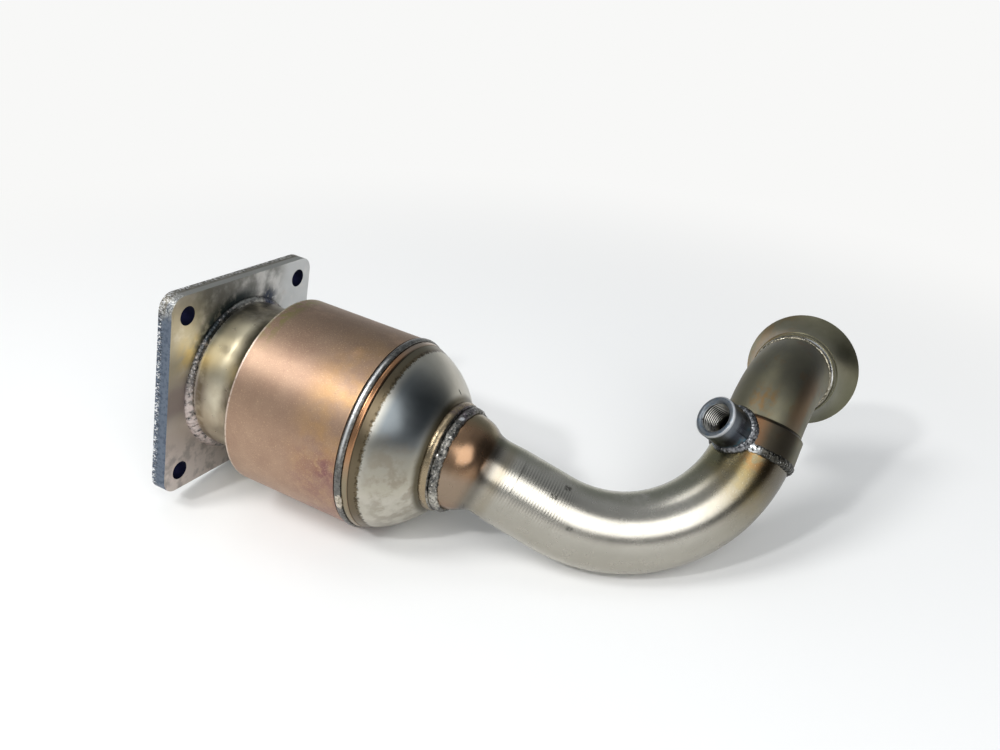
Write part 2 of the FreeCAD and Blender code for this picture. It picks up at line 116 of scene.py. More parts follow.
def addNode(tree, kind, links=None, stops=None, **settings):
    # adds a node with its settings, and fills or links its inputs; a node given as a link stands for its
    # first output, and a ramp's first two stops are its ends
    node = tree.nodes.new(kind)
    for name, value in settings.items():
        setattr(node, name, value)
    for place, (at, text) in enumerate(stops or []):
        stop = node.color_ramp.elements[place] if place < 2 else node.color_ramp.elements.new(at)
        stop.position = at
        stop.color = toLinear(text)
    for key, value in (links or {}).items():
        if isinstance(value, bpy.types.Node):
            value = value.outputs[0]
        if isinstance(value, bpy.types.NodeSocket):
            tree.links.new(value, node.inputs[key])
        else:
            node.inputs[key].default_value = value
    return node


def pieceFields(tree, place, straight=None, radius=None):
    # where a point lies on its own piece, in millimetres: x along the tube, y and z across it, r from its
    # axis; a bent tube is unrolled, so that x keeps counting round the bend
    coords = addNode(tree, "ShaderNodeTexCoord").outputs["Object"]
    mapped = addNode(tree, "ShaderNodeMapping", {
        "Vector": coords,
        "Location": place.translation * mm,
        "Rotation": place.to_euler(),
        "Scale": (mm, mm, mm),
    }, vector_type="TEXTURE")
    x, y, z = addNode(tree, "ShaderNodeSeparateXYZ", {0: mapped}).outputs
    if radius:
        beyond = addNode(tree, "ShaderNodeMath", {0: x, 1: straight}, operation="SUBTRACT")
        past = addNode(tree, "ShaderNodeMath", {0: beyond, 1: 0.0}, operation="MAXIMUM")
        before = addNode(tree, "ShaderNodeMath", {0: x, 1: straight}, operation="MINIMUM")
        toCentre = addNode(tree, "ShaderNodeMath", {0: radius, 1: z}, operation="SUBTRACT")
        turn = addNode(tree, "ShaderNodeMath", {0: past, 1: toCentre}, operation="ARCTAN2")
        arm = addNode(tree, "ShaderNodeCombineXYZ", {"X": past, "Y": toCentre})
        reach = addNode(tree, "ShaderNodeVectorMath", {0: arm}, operation="LENGTH").outputs["Value"]
        x = addNode(tree, "ShaderNodeMath", {0: turn, 1: radius, 2: before}, operation="MULTIPLY_ADD")
        z = addNode(tree, "ShaderNodeMath", {0: radius, 1: reach}, operation="SUBTRACT")
    across = addNode(tree, "ShaderNodeCombineXYZ", {"Y": y, "Z": z})
    r = addNode(tree, "ShaderNodeVectorMath", {0: across}, operation="LENGTH").outputs["Value"]
    flat = addNode(tree, "ShaderNodeCombineXYZ", {"X": x, "Y": y, "Z": z})
    return {"vector": flat, "x": x, "y": y, "z": z, "r": r}


clouds = {
    # detail and seed of each use of the noise; the seeds keep the patterns of one finish apart
    "mottle": (5.0, 0.0),
    "gloss": (4.0, 9.0),
    "teeth": (2.0, 12.0),
    "layer": (4.0, 3.0),
    "relief": (3.0, 5.0),
}
glossSize = 6.0  # millimetres, the patches in which the roughness varies
turnLimits = (0.02, 3.1)  # radians from the middle of a turn window, between which its edges stay


def cloudField(tree, fields, use, size, stretch=(1, 1, 1), seed=None):
    # mottling whose patches are about `size` millimetres, stretched along the piece's own axes
    detail, ownSeed = clouds[use]
    shift = ownSeed if seed is None else seed
    spot = addNode(tree, "ShaderNodeMapping", {
        "Vector": fields["vector"],
        "Location": (shift, shift, shift),
        "Scale": [1 / (size * s) for s in stretch],
    })
    return addNode(tree, "ShaderNodeTexNoise", {
        "Vector": spot,
        "Scale": 1.0,
        "Detail": detail,
        "Roughness": 0.6,
    })


def windowMask(tree, value, low, high, soft):
    # 1 where the value lies between low and high, fading over `soft` on each side; None leaves a side open
    mask = 1.0
    for limit, start, end in ((low, 0.0, 1.0), (high, 1.0, 0.0)):
        if limit is not None:
            side = addNode(tree, "ShaderNodeMapRange", {
                "Value": value,
                "From Min": limit - soft,
                "From Max": limit + soft,
                "To Min": start,
                "To Max": end,
            }, interpolation_type="SMOOTHSTEP")
            mask = addNode(tree, "ShaderNodeMath", {0: side, 1: mask}, operation="MULTIPLY")
    return mask


def layerMask(tree, fields, layer):
    # the share of a tint or relief at each point, from the windows that its layer names; a window is its
    # low end, its high end and how softly it ends, in millimetres, or for face as a cosine
    parts = []
    for name in ("x", "y", "z", "r", "face"):
        if name in layer:
            value = fields[name]
            if name == "x" and "ragged" in layer:  # an uneven edge: size of its teeth, and their depth
                size, depth = layer["ragged"]
                teeth = cloudField(tree, fields, "teeth", size, (2, 1, 1))
                shift = addNode(tree, "ShaderNodeMath", {0: teeth, 1: 0.5}, operation="SUBTRACT")
                value = addNode(tree, "ShaderNodeMath", {0: shift, 1: depth, 2: value},
                                operation="MULTIPLY_ADD")
            parts.append(windowMask(tree, value, *layer[name]))
    if "turn" in layer:  # middle, half width and softness, in degrees round the axis from +Y towards +Z
        centre, half, soft = (math.radians(a) for a in layer["turn"])
        up = addNode(tree, "ShaderNodeMath", {0: fields["z"], 1: math.sin(centre)}, operation="MULTIPLY")
        lean = addNode(tree, "ShaderNodeMath", {0: fields["y"], 1: math.cos(centre), 2: up},
                       operation="MULTIPLY_ADD")
        share = addNode(tree, "ShaderNodeMath", {0: lean, 1: fields["r"]}, operation="DIVIDE")
        outer = math.cos(min(half + soft, turnLimits[1]))
        inner = math.cos(max(half - soft, turnLimits[0]))
        parts.append(windowMask(tree, share, (outer + inner) / 2, None, (inner - outer) / 2))
    if "noise" in layer:  # size in millimetres, and the band of the noise that the tint fills
        size, low, high = layer["noise"]
        cloud = cloudField(tree, fields, "layer", size, layer.get("stretch", (1, 1, 1)), layer.get("seed"))
        parts.append(windowMask(tree, cloud, (low + high) / 2, None, (high - low) / 2))
    mask = layer.get("amount", 1.0)
    for part in parts:
        mask = addNode(tree, "ShaderNodeMath", {0: part, 1: mask}, operation="MULTIPLY")
    return mask


def makeFinish(name, place, look, bendOf=(None, None)):
    # a metal or ceramic finish: mottled base colour, tint layers, roughness and relief
    finish = bpy.data.materials.new(name)
    finish.use_nodes = True
    tree = finish.node_tree
    tree.nodes.clear()
    fields = pieceFields(tree, place, *bendOf)
    if look.get("faces"):  # how squarely the surface faces along the piece's axis
        normal = addNode(tree, "ShaderNodeNewGeometry").outputs["Normal"]
        axis = place.to_3x3() @ Vector((1, 0, 0))
        dot = addNode(tree, "ShaderNodeVectorMath", {0: normal, 1: axis}, operation="DOT_PRODUCT")
        fields["face"] = addNode(tree, "ShaderNodeMath", {0: dot.outputs["Value"]}, operation="ABSOLUTE")
    cloud = cloudField(tree, fields, "mottle", look["mottle"])
    colour = addNode(tree, "ShaderNodeValToRGB", {"Fac": cloud}, stops=look["base"])
    smooth, coarse = look["roughness"]
    gloss = cloudField(tree, fields, "gloss", glossSize)
    rough = addNode(tree, "ShaderNodeMath", {0: gloss, 1: coarse - smooth, 2: smooth},
                    operation="MULTIPLY_ADD")
    for layer in look["layers"]:
        mask = layerMask(tree, fields, layer)
        colour = addNode(tree, "ShaderNodeMix", {
            "Factor": mask,
            "A": colour,
            "B": toLinear(layer["colour"]),
        }, data_type="RGBA").outputs["Result"]
        if "rough" in layer:
            rough = addNode(tree, "ShaderNodeMath", {0: mask, 1: layer["rough"], 2: rough},
                            operation="MULTIPLY_ADD")
    height = 0.0
    for relief in look["relief"]:  # each adds its depth in millimetres
        if "ribs" in relief:  # turned or rolled lines across the tube, by their pitch
            turnOf = addNode(tree, "ShaderNodeMath", {0: fields["x"], 1: 2 * math.pi / relief["ribs"]},
                             operation="MULTIPLY")
            wave = addNode(tree, "ShaderNodeMath", {0: turnOf}, operation="SINE")
        elif "size" in relief:
            wave = cloudField(tree, fields, "relief", relief["size"], relief.get("stretch", (1, 1, 1)),
                              relief.get("seed"))
        else:  # a plain step or ridge, shaped by its windows
            wave = 1.0
        wave = addNode(tree, "ShaderNodeMath", {0: wave, 1: relief["depth"]}, operation="MULTIPLY")
        mask = layerMask(tree, fields, relief)
        height = addNode(tree, "ShaderNodeMath", {0: wave, 1: mask, 2: height}, operation="MULTIPLY_ADD")
    bump = addNode(tree, "ShaderNodeBump", {"Height": height, "Distance": mm})
    shader = addNode(tree, "ShaderNodeBsdfPrincipled", {
        "Metallic": look.get("metallic", 1.0),
        "Base Color": colour,
        "Roughness": rough,
        "Normal": bump,
    })
    addNode(tree, "ShaderNodeOutputMaterial", {"Surface": shader})
    return finish


# A look is in millimetres. Mottle is the size of the base colour's patches and base their two colours,
# roughness goes from the smoothest to the coarsest spot, and each layer tints, and each relief raises or
# lowers, what its windows take in.

# faces of the flange that look away from its axis: the cut edge and the walls of its holes
cutFaces = (None, 0.5, 0.2)

# laser-cut mild steel plate: dull grey, sooted and blued round the neck, with a coarse cut edge
flangeLook = {
    "faces": True,
    "mottle": 9.0,
    "base": [(0.3, "#cac8c4"), (0.7, "#d8d6d4")],
    "roughness": (0.4, 0.58),
    "layers": [
        # soot above the neck, and paler steel beyond it
        {"colour": "#5a5b54", "z": (22, None, 10), "y": (-42, 34, 9),
         "noise": (16, 0.3, 0.55), "amount": 0.68},
        {"colour": "#c6c8c8", "y": (32, None, 8), "noise": (9, 0.3, 0.5), "amount": 0.8},
        # heat blue close to the bead
        {"colour": "#22343a", "r": (None, 52, 4), "turn": (118, 32, 16),
         "noise": (6, 0.3, 0.5), "amount": 0.9},
        {"colour": "#2a3448", "r": (None, 52, 4), "turn": (64, 4, 6),
         "noise": (3, 0.35, 0.5), "amount": 0.9},
        # straw at the near edge, purple below it, and paler steel at the bottom
        {"colour": "#a29a82", "y": (None, -36, 8), "z": (10, 60, 8),
         "noise": (12, 0.25, 0.5), "amount": 0.5},
        # painted reflection: a golden spot below the near top hole, the neck's highlight mirrored in the
        # face
        {"colour": "#d8c48e", "y": (-52, -38, 6), "z": (14, 32, 8), "noise": (8, 0.3, 0.6), "amount": 0.8},
        {"colour": "#90858a", "y": (None, -38, 6), "z": (-14, 10, 8), "amount": 0.8},
        {"colour": "#d0c6c0", "z": (None, -16, 8), "amount": 0.85},
        {"colour": "#8c8886", "z": (None, -30, 8), "noise": (9, 0.45, 0.65), "amount": 0.6},
        # the cut edges: grey, blue on the near side, brown on top, with dark and bright flecks
        {"colour": "#9d9d98", "face": cutFaces, "amount": 0.9, "rough": 0.05},
        {"colour": "#6d7887", "face": cutFaces, "y": (None, -55, 1.5), "z": (None, 50, 5), "amount": 0.95},
        {"colour": "#4c5666", "face": cutFaces, "y": (None, -55, 1.5),
         "noise": (2.4, 0.45, 0.65), "seed": 4.0, "amount": 0.7},
        {"colour": "#847f74", "face": cutFaces, "x": (None, 4.6, 0.5), "z": (50, None, 5), "amount": 0.9},
        {"colour": "#2b2d32", "face": cutFaces, "x": (None, 3.6, 1.4),
         "noise": (1.0, 0.5, 0.6), "stretch": (2.5, 1, 1), "seed": 7.0, "amount": 0.8},
        {"colour": "#ffffff", "face": cutFaces, "x": (None, 2.4, 1.4),
         "noise": (0.8, 0.53, 0.6), "stretch": (2.0, 1, 1), "amount": 0.9},
        {"colour": "#f0f0ee", "face": cutFaces, "y": (None, -50, 3), "z": (50, None, 3),
         "noise": (0.9, 0.5, 0.6), "seed": 14.0, "amount": 0.7},
        # the walls of the bolt holes
        {"colour": "#1d1f38", "face": cutFaces, "y": (-54, 54, 0.5), "z": (-54, 54, 0.5), "rough": 0.2},
    ],
    "relief": [
        {"size": 0.7, "depth": 0.03},
        # drag lines of the cut
        {"size": 0.9, "depth": 0.3, "stretch": (4, 1, 1), "face": cutFaces, "x": (None, 4.0, 1.2)},
        {"size": 0.6, "depth": 0.06, "face": cutFaces, "seed": 2.0},
    ],
}

# drawn stainless: smooth, brown-tinted by the heat of the flange weld
neckLook = {
    "mottle": 10.0,
    "base": [(0.3, "#c4baa2"), (0.7, "#d8d0ba")],
    "roughness": (0.24, 0.34),
    "layers": [
        # bare metal beside the bead
        {"colour": "#f2ece2", "x": (None, 13.6, 0.5), "turn": (135, 60, 10), "amount": 0.8},
        # brown from the weld's heat, on top and towards the can
        {"colour": "#7c6644", "x": (13.6, 18, 2), "turn": (190, 60, 20),
         "noise": (5, 0.3, 0.6), "amount": 0.6},
        {"colour": "#665c50", "turn": (90, 34, 14), "noise": (14, 0.3, 0.6), "amount": 0.75},
        {"colour": "#8a7f5c", "x": (33, None, 6), "noise": (9, 0.35, 0.65), "amount": 0.7},
        # painted highlight: a pale warm spot where the neck catches the lamp
        {"colour": "#fff2d0", "x": (13, 31, 5), "turn": (133, 17, 12)},
    ],
    "relief": [{"size": 0.6, "depth": 0.008, "stretch": (1, 4, 4)}],
}

# rolled stainless shell, bronzed evenly by the furnace and finely pitted
canLook = {
    "mottle": 16.0,
    "base": [(0.3, "#a18471"), (0.7, "#b0947e")],
    "roughness": (0.42, 0.52),
    "layers": [
        # straw towards the seam, brown on top, purple and a bruise low down
        {"colour": "#c49c68", "x": (90, None, 12), "turn": (150, 45, 20),
         "noise": (14, 0.3, 0.65), "amount": 0.6},
        {"colour": "#6f6152", "turn": (85, 32, 14), "noise": (16, 0.25, 0.5), "amount": 0.45},
        {"colour": "#8c6a66", "x": (88, None, 10), "turn": (205, 30, 14),
         "noise": (9, 0.35, 0.6), "amount": 0.6},
        {"colour": "#7a4c58", "x": (103, 113, 3), "turn": (183, 6, 4),
         "noise": (5, 0.35, 0.55), "amount": 0.6},
        # pits, pale and dark
        {"colour": "#e8cba4", "noise": (0.6, 0.55, 0.7), "amount": 0.4},
        {"colour": "#66503f", "noise": (1.2, 0.62, 0.76), "seed": 11.0, "amount": 0.45},
        # bare metal at the rolled edge, and an olive smear beside it
        {"colour": "#e0d2c4", "x": (None, 44.9, 0.3), "noise": (1.5, 0.3, 0.5), "amount": 0.7},
        {"colour": "#8a8850", "x": (None, 52, 3), "turn": (100, 25, 12),
         "noise": (5, 0.4, 0.6), "amount": 0.6},
    ],
    "relief": [{"size": 0.5, "depth": 0.02}, {"size": 1.4, "depth": 0.02, "seed": 4.0}],
}

# spun stainless: smooth, with a painted dark reflection in the middle, copper and brown where the seam's
# heat reached its lip
domeLook = {
    "mottle": 14.0,
    "base": [(0.3, "#b4b0a3"), (0.7, "#c2beb3")],
    "roughness": (0.26, 0.36),
    "layers": [
        # a painted dark reflection of the room in the middle, a painted pale beige shade below it that dims
        # the lamp's reflection, and brown clouds lower down
        {"colour": "#566068", "x": (128, 149, 4), "turn": (140, 32, 24), "amount": 0.85},
        {"colour": "#a8a08c", "x": (129, 150, 3), "turn": (176, 14, 12), "amount": 0.5},
        {"colour": "#7a6d5c", "x": (130, None, 8), "turn": (205, 45, 20),
         "noise": (8, 0.42, 0.62), "amount": 0.45},
        # brown ring of the seam's heat, with a dark ragged edge
        {"colour": "#5a4c34", "x": (None, 126.8, 0.5), "ragged": (1.2, 2.4), "amount": 0.9},
        {"colour": "#2a2318", "x": (125.4, 127.4, 0.4), "ragged": (1.2, 2.4),
         "noise": (1.8, 0.42, 0.6), "amount": 0.65},
        {"colour": "#1c1913", "x": (121.6, 122.3, 0.3), "amount": 0.6},
        {"colour": "#6e6a5a", "x": (121.8, 125, 0.5), "turn": (80, 30, 15), "amount": 0.6},
        # the lip: copper, greyer at its ends, dark in its corner
        {"colour": "#ac805e", "x": (None, 121.7, 0.3), "rough": -0.08},
        {"colour": "#86826f", "x": (None, 121.7, 0.3), "turn": (212, 34, 12), "amount": 0.85},
        {"colour": "#98948a", "x": (None, 121.7, 0.3), "turn": (75, 22, 14), "amount": 0.7},
        {"colour": "#1c1913", "x": (None, 118.9, 0.3), "amount": 0.8},
        # brown collar beside the outlet bead, and a scratch
        {"colour": "#4e4632", "x": (148.5, None, 1.2), "amount": 0.9},
        {"colour": "#33302a", "x": (146.4, 148.2, 0.5), "y": (8.4, 9.6, 0.4)},
    ],
    "relief": [
        {"size": 0.5, "depth": 0.006},
        {"size": 0.5, "depth": 0.006, "stretch": (1, 30, 30)},
        # the lip stands out
        {"depth": 0.7, "x": (118.9, 121.8, 0.9)},
    ],
}

# bent stainless tube: bronzed at both welds, ribbed by the bender's wiper on its first stretch
pipeLook = {
    "mottle": 20.0,
    "base": [(0.3, "#b2aea4"), (0.7, "#c0bcb2")],
    "roughness": (0.22, 0.31),
    "layers": [
        # copper bell, and a painted dark reflection of the room at the waist
        {"colour": "#8e6d50", "x": (None, -6, 2), "amount": 0.92},
        {"colour": "#33281c", "x": (-8, -1, 4), "amount": 0.85},
        {"colour": "#8a7a5c", "x": (0, 6, 3), "amount": 0.5},
        # bronzed end, with an orange and a dark patch before the socket
        {"colour": "#6e6446", "x": (132, None, 24), "amount": 0.92},
        {"colour": "#8e7a48", "x": (140, None, 10), "noise": (9, 0.4, 0.6), "amount": 0.35},
        {"colour": "#8a6434", "x": (157, None, 5), "turn": (172, 14, 10),
         "noise": (3, 0.4, 0.55), "amount": 0.7},
        {"colour": "#30251c", "x": (152, None, 9), "turn": (212, 30, 18), "amount": 0.85},
        # olive clouds on top, and painted shade: grey on the underside
        {"colour": "#787b62", "turn": (106, 26, 14), "noise": (22, 0.3, 0.55), "amount": 0.55},
        {"colour": "#8f8b80", "turn": (228, 20, 12), "amount": 0.45},
        # scuffs and specks
        {"colour": "#45433e", "x": (31, 35, 0.8), "turn": (165, 3, 2),
         "noise": (1.2, 0.4, 0.5), "amount": 0.8},
        {"colour": "#45433e", "x": (36, 40, 0.8), "turn": (142, 4, 2),
         "noise": (1.2, 0.4, 0.5), "amount": 0.8},
        {"colour": "#45433e", "x": (46, 49, 0.8), "turn": (194, 2, 2),
         "noise": (1.2, 0.4, 0.5), "amount": 0.7},
        {"colour": "#55534c", "noise": (2.2, 0.7, 0.76), "seed": 15.0, "amount": 0.5},
        {"colour": "#e8e6de", "noise": (0.5, 0.62, 0.74), "seed": 21.0, "amount": 0.3},
    ],
    "relief": [
        {"ribs": 1.6, "depth": 0.022, "x": (4, 42, 6), "noise": (9, 0.1, 0.4)},
        {"size": 0.5, "depth": 0.008},
    ],
}

# tight elbow, tempered olive and brown by its two welds
elbowLook = {
    "mottle": 12.0,
    "base": [(0.3, "#68665a"), (0.7, "#77735f")],
    "roughness": (0.46, 0.56),
    "layers": [
        # brown clouds, and orange by the socket
        {"colour": "#7a5a38", "noise": (8, 0.58, 0.7), "amount": 0.35},
        {"colour": "#85602f", "x": (0, 12, 5), "turn": (268, 14, 10),
         "noise": (3, 0.4, 0.65), "amount": 0.6},
        {"colour": "#7c5636", "x": (0, 30, 8), "turn": (326, 12, 8), "amount": 0.45},
        # the socket's brown and dark sides, and the line where it ends
        {"colour": "#7e5b40", "x": (None, 0, 0.5), "turn": (262, 26, 12),
         "noise": (6, 0.25, 0.5), "amount": 0.85},
        {"colour": "#3c3a34", "x": (14, 50, 8), "turn": (300, 24, 16), "amount": 0.5},
        {"colour": "#28221d", "x": (None, 0, 0.5), "turn": (312, 24, 12), "amount": 0.85},
        {"colour": "#16130f", "x": (-0.4, 0.3, 0.25), "amount": 0.85},
    ],
    "relief": [
        {"size": 0.6, "depth": 0.008},
        {"size": 6.0, "depth": 0.05},
        {"depth": 0.35, "x": (None, -0.3, 0.3)},
    ],
}

# turned steel nut: blue-black body, grey matt face with a bright thin rim, and a bore painted dark as shade
# with painted highlights on the thread's crests
bossLook = {
    "faces": True,
    "mottle": 6.0,
    "base": [(0.3, "#585e65"), (0.7, "#71767b")],
    "roughness": (0.3, 0.42),
    "layers": [
        # heat blue at the foot, darker above it
        {"colour": "#4a7c90", "x": (None, 28, 2.5), "noise": (4, 0.45, 0.62), "amount": 0.7},
        {"colour": "#22252e", "x": (27, 34, 2), "noise": (5, 0.3, 0.5), "amount": 0.8},
        # the end face and its rim
        {"colour": "#74797e", "x": (39.0, None, 0.4), "rough": 0.12},
        {"colour": "#5a6a78", "x": (39.0, None, 0.4), "noise": (2, 0.5, 0.62), "amount": 0.8},
        {"colour": "#d6d8da", "x": (39.2, None, 0.3), "r": (11.2, None, 0.2), "amount": 0.6},
        # painted shade: the bore darkened, and painted highlights: the crests of its thread made bright
        {"colour": "#1b1c1f", "r": (None, 9.3, 0.2), "x": (None, 39.3, 0.2)},
        {"colour": "#e4e2da", "r": (None, 8.5, 0.12), "x": (24, 39.3, 1)},
    ],
    "relief": [{"size": 0.5, "depth": 0.014}],
}

# turned flare of thick tube, olive grey with fine tool lines
flareLook = {
    "mottle": 14.0,
    "base": [(0.3, "#7c7861"), (0.7, "#8c8772")],
    "roughness": (0.3, 0.4),
    "layers": [
        # brown on the near side, olive on the far one, and a bright rim
        {"colour": "#94703f", "turn": (200, 45, 20), "noise": (10, 0.35, 0.6), "amount": 0.5},
        {"colour": "#4c5040", "turn": (50, 70, 30), "amount": 0.5},
        {"colour": "#b8b298", "x": (24.4, None, 0.3), "amount": 0.6},
    ],
    "relief": [{"size": 0.5, "depth": 0.006}, {"ribs": 0.8, "depth": 0.005}],
}

# cast ceramic, beige and matt
cordieriteLook = {
    "metallic": 0.0,
    "mottle": 8.0,
    "base": [(0.3, "#b9a68a"), (0.7, "#cdbb9e")],
    "roughness": (0.85, 0.95),
    "layers": [{"colour": "#8c8478", "noise": (12, 0.5, 0.7), "amount": 0.5}],
    "relief": [{"size": 0.3, "depth": 0.03}],
}

# vermiculite mat: matt golden flakes in pale fibre
matLook = {
    "metallic": 0.0,
    "mottle": 2.0,
    "base": [(0.35, "#b8a684"), (0.65, "#d8ccb0")],
    "roughness": (0.85, 0.95),
    "layers": [{"colour": "#8f6f3c", "noise": (1.0, 0.6, 0.66), "amount": 0.8}],
    "relief": [{"size": 0.8, "depth": 0.1}],
}

# knitted stainless wire, drawn as a coarse grain of loops
meshLook = {
    "mottle": 0.8,
    "base": [(0.35, "#4e4c48"), (0.65, "#b8b4aa")],
    "roughness": (0.35, 0.5),
    "layers": [],
    "relief": [{"size": 0.7, "depth": 0.2, "stretch": (1, 2, 2)}],
}


def weldLook(dark, mid, bright, sparkle, layers=()):
    # weld metal: dark oxide in the ripples' valleys, bare bright metal and spatter on their crests
    return {
        "mottle": 1.8,
        "base": [(0.36, dark), (0.6, mid)],
        "roughness": (0.24, 0.42),
        "layers": [
            {"colour": bright, "noise": (1.0, 0.58, 0.68), "amount": sparkle},
            {"colour": dark, "noise": (2.6, 0.56, 0.7), "seed": 8.0, "amount": 0.7},
            *layers,
        ],
        "relief": [{"size": 0.6, "depth": 0.08}, {"size": 1.6, "depth": 0.12, "seed": 6.0}],
    }


inletBeadLook = weldLook("#383a3c", "#8e8882", "#f4f0f0", 0.9, [
    # pale at the bottom, dark at the side, pale on top, blued at the far end
    {"colour": "#cdbfba", "turn": (212, 34, 12), "noise": (3, 0.35, 0.55), "amount": 0.85},
    {"colour": "#2a3236", "turn": (128, 16, 10), "noise": (3, 0.3, 0.5), "amount": 0.9},
    {"colour": "#b0b0aa", "turn": (88, 16, 8), "noise": (3, 0.35, 0.55), "amount": 0.8},
    {"colour": "#222c44", "turn": (66, 5, 4), "amount": 0.9},
])
seamBeadLook = weldLook("#504f4d", "#777672", "#c8c8c4", 0.4, [
    # painted highlight: a white streak along the bead where the lamp falls on it
    {"colour": "#fbfbfa", "x": (116.0, 117.3, 0.4), "turn": (142, 24, 12),
     "noise": (2, 0.3, 0.45), "amount": 0.9},
])
outletBeadLook = weldLook("#2f3133", "#8e8b84", "#fbf9f2", 0.9, [
    # the smooth ridge, and the dark line before the crest
    {"colour": "#9a8a70", "x": (None, 154.8, 0.4), "amount": 0.95, "rough": -0.06},
    {"colour": "#15130f", "x": (154.8, 155.3, 0.3), "amount": 0.6},
    # the crest: pale at the bottom, purple on top, and a painted highlight: one bright white streak on top
    {"colour": "#c8c4ba", "x": (155, None, 0.5), "turn": (209, 12, 6),
     "noise": (1.6, 0.4, 0.55), "amount": 0.85},
    {"colour": "#6a5a68", "turn": (92, 14, 8), "noise": (3, 0.4, 0.6), "amount": 0.5},
    {"colour": "#ffffff", "x": (157.4, 160, 0.4), "turn": (106, 2, 1.5), "rough": -0.1},
])
jointBeadLook = weldLook("#1a1b1a", "#4a4842", "#f6f6f2", 0.4, [
    # painted highlight: bright white streaks along one side of the bead, where the lamp falls on it
    {"colour": "#f0f2f2", "turn": (152, 16, 7), "noise": (1.6, 0.4, 0.5), "amount": 0.9, "rough": -0.06},
])
bossBeadLook = weldLook("#24272b", "#86878a", "#f0f2f2", 0.7, [
    {"colour": "#3f6c80", "turn": (20, 30, 15), "noise": (4, 0.4, 0.55), "amount": 0.7},
])
flareBeadLook = weldLook("#4c483c", "#a39c8a", "#f4f2e8", 0.8, [
    # painted highlight: a broken bright white line along the upper side of the bead
    {"colour": "#ffffff", "x": (-2.4, None, 0.4), "turn": (318, 38, 10),
     "noise": (3, 0.2, 0.34), "rough": -0.1},
])


def dress(name, finish):
    # the CAD node keeps its shape and takes the finish
    slots = cad[name].data.materials
    slots.clear()
    slots.append(finish)


mainBend = (line["runLength"], line["mainRadius"])
elbowBend = (0.0, line["elbowRadius"])
pipeSteel = makeFinish("bent_stainless_tube", runPlace, pipeLook, mainBend)
bossSteel = makeFinish("blued_turned_steel", bossPlace, bossLook)
cordierite = makeFinish("cordierite_honeycomb", lie, cordieriteLook)
knitted = makeFinish("knitted_wire_seal", lie, meshLook)
dress("inlet_flange", makeFinish("laser_cut_steel_plate", lie, flangeLook))
dress("inlet_cone", makeFinish("drawn_stainless_neck", lie, neckLook))
dress("can_shell", makeFinish("bronzed_stainless_shell", lie, canLook))
dress("outlet_cone", makeFinish("spun_stainless_cone", lie, domeLook))
dress("front_pipe", pipeSteel)
dress("outlet_elbow", makeFinish("tempered_stainless_elbow", elbowPlace, elbowLook, elbowBend))
dress("outlet_flare", makeFinish("turned_steel_flare", flarePlace, flareLook))
dress("ceramic_brick", cordierite)
dress("support_mat", makeFinish("vermiculite_mat", lie, matLook))
dress("mesh_seal_inlet", knitted)
dress("mesh_seal_outlet", knitted)
dress("shell_weld", makeFinish("hidden_weld", lie, seamBeadLook))
print("finishes on the solids")


pieceGap = 1e-6  # metres, doubles of a finished piece
looseGap = 0.002  # millimetres, joins the loose triangles of a solid's copy
cutGap = 1e-4  # millimetres, how near a cutting plane a point counts as on it


def solidCopy(name, place):
    # a CAD node's mesh on its own axes, in millimetres, with its triangles joined
    mesh = bmesh.new()
    mesh.from_mesh(cad[name].data)
    mesh.transform((Matrix.Scale(mm, 4) @ place).inverted())
    bmesh.ops.remove_doubles(mesh, verts=mesh.verts, dist=looseGap)
    return mesh


def finishPiece(name, mesh, place, finish, slot, *replaced, crease=None):
    # puts a mesh made in millimetres in its place and hands it to the frame; edges sharper than the
    # crease, in degrees, stay sharp
    mesh.transform(Matrix.Scale(mm, 4) @ place)
    bmesh.ops.remove_doubles(mesh, verts=mesh.verts, dist=pieceGap)
    bmesh.ops.recalc_face_normals(mesh, faces=mesh.faces)
    data = bpy.data.meshes.new(name)
    mesh.to_mesh(data)
    mesh.free()
    for face in data.polygons:
        face.use_smooth = crease != 0
    if crease:
        data.set_sharp_from_angle(angle=math.radians(crease))
    data.materials.append(finish)
    piece = bpy.data.objects.new(name, data)
    bpy.context.scene.collection.objects.link(piece)
    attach(piece, "root")
    if replaced:
        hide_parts(*replaced)
    print("piece", name)


slimFade = 40.0  # degrees over which a thinned bead grows to its full size
wanderRate = 5  # how quickly the crescents of a bead grow uneven round the ring


# A bead's dictionary is in millimetres and degrees. The section: x and ring place it along and out from
# the axis, wide, high and lean shape it, with so many sides, and step is the length of its facets. Slim
# is the middle and half width of a thinner stretch, and its share of the size. The surface: pitch, bow
# and uneven lay out its crescents, with their height, and lumps of the lump's height stand on it.


def rippled(spot, bead):
    # how far a point of a bead stands out: scalloped crescents, with lumps
    angle = math.atan2(spot.z, spot.y)
    across = (spot.x - bead["x"]) / bead["wide"]
    wander = noise.noise(Vector((angle * wanderRate, 0, bead["x"])))
    run = angle * bead["ring"] / bead["pitch"]
    run += bead["bow"] * across * across + bead["uneven"] * wander
    scallop = abs(math.sin(math.pi * run))
    lump = noise.noise(spot * bead["lumpScale"])
    return bead["height"] * (scallop - 0.5) + bead["lump"] * lump


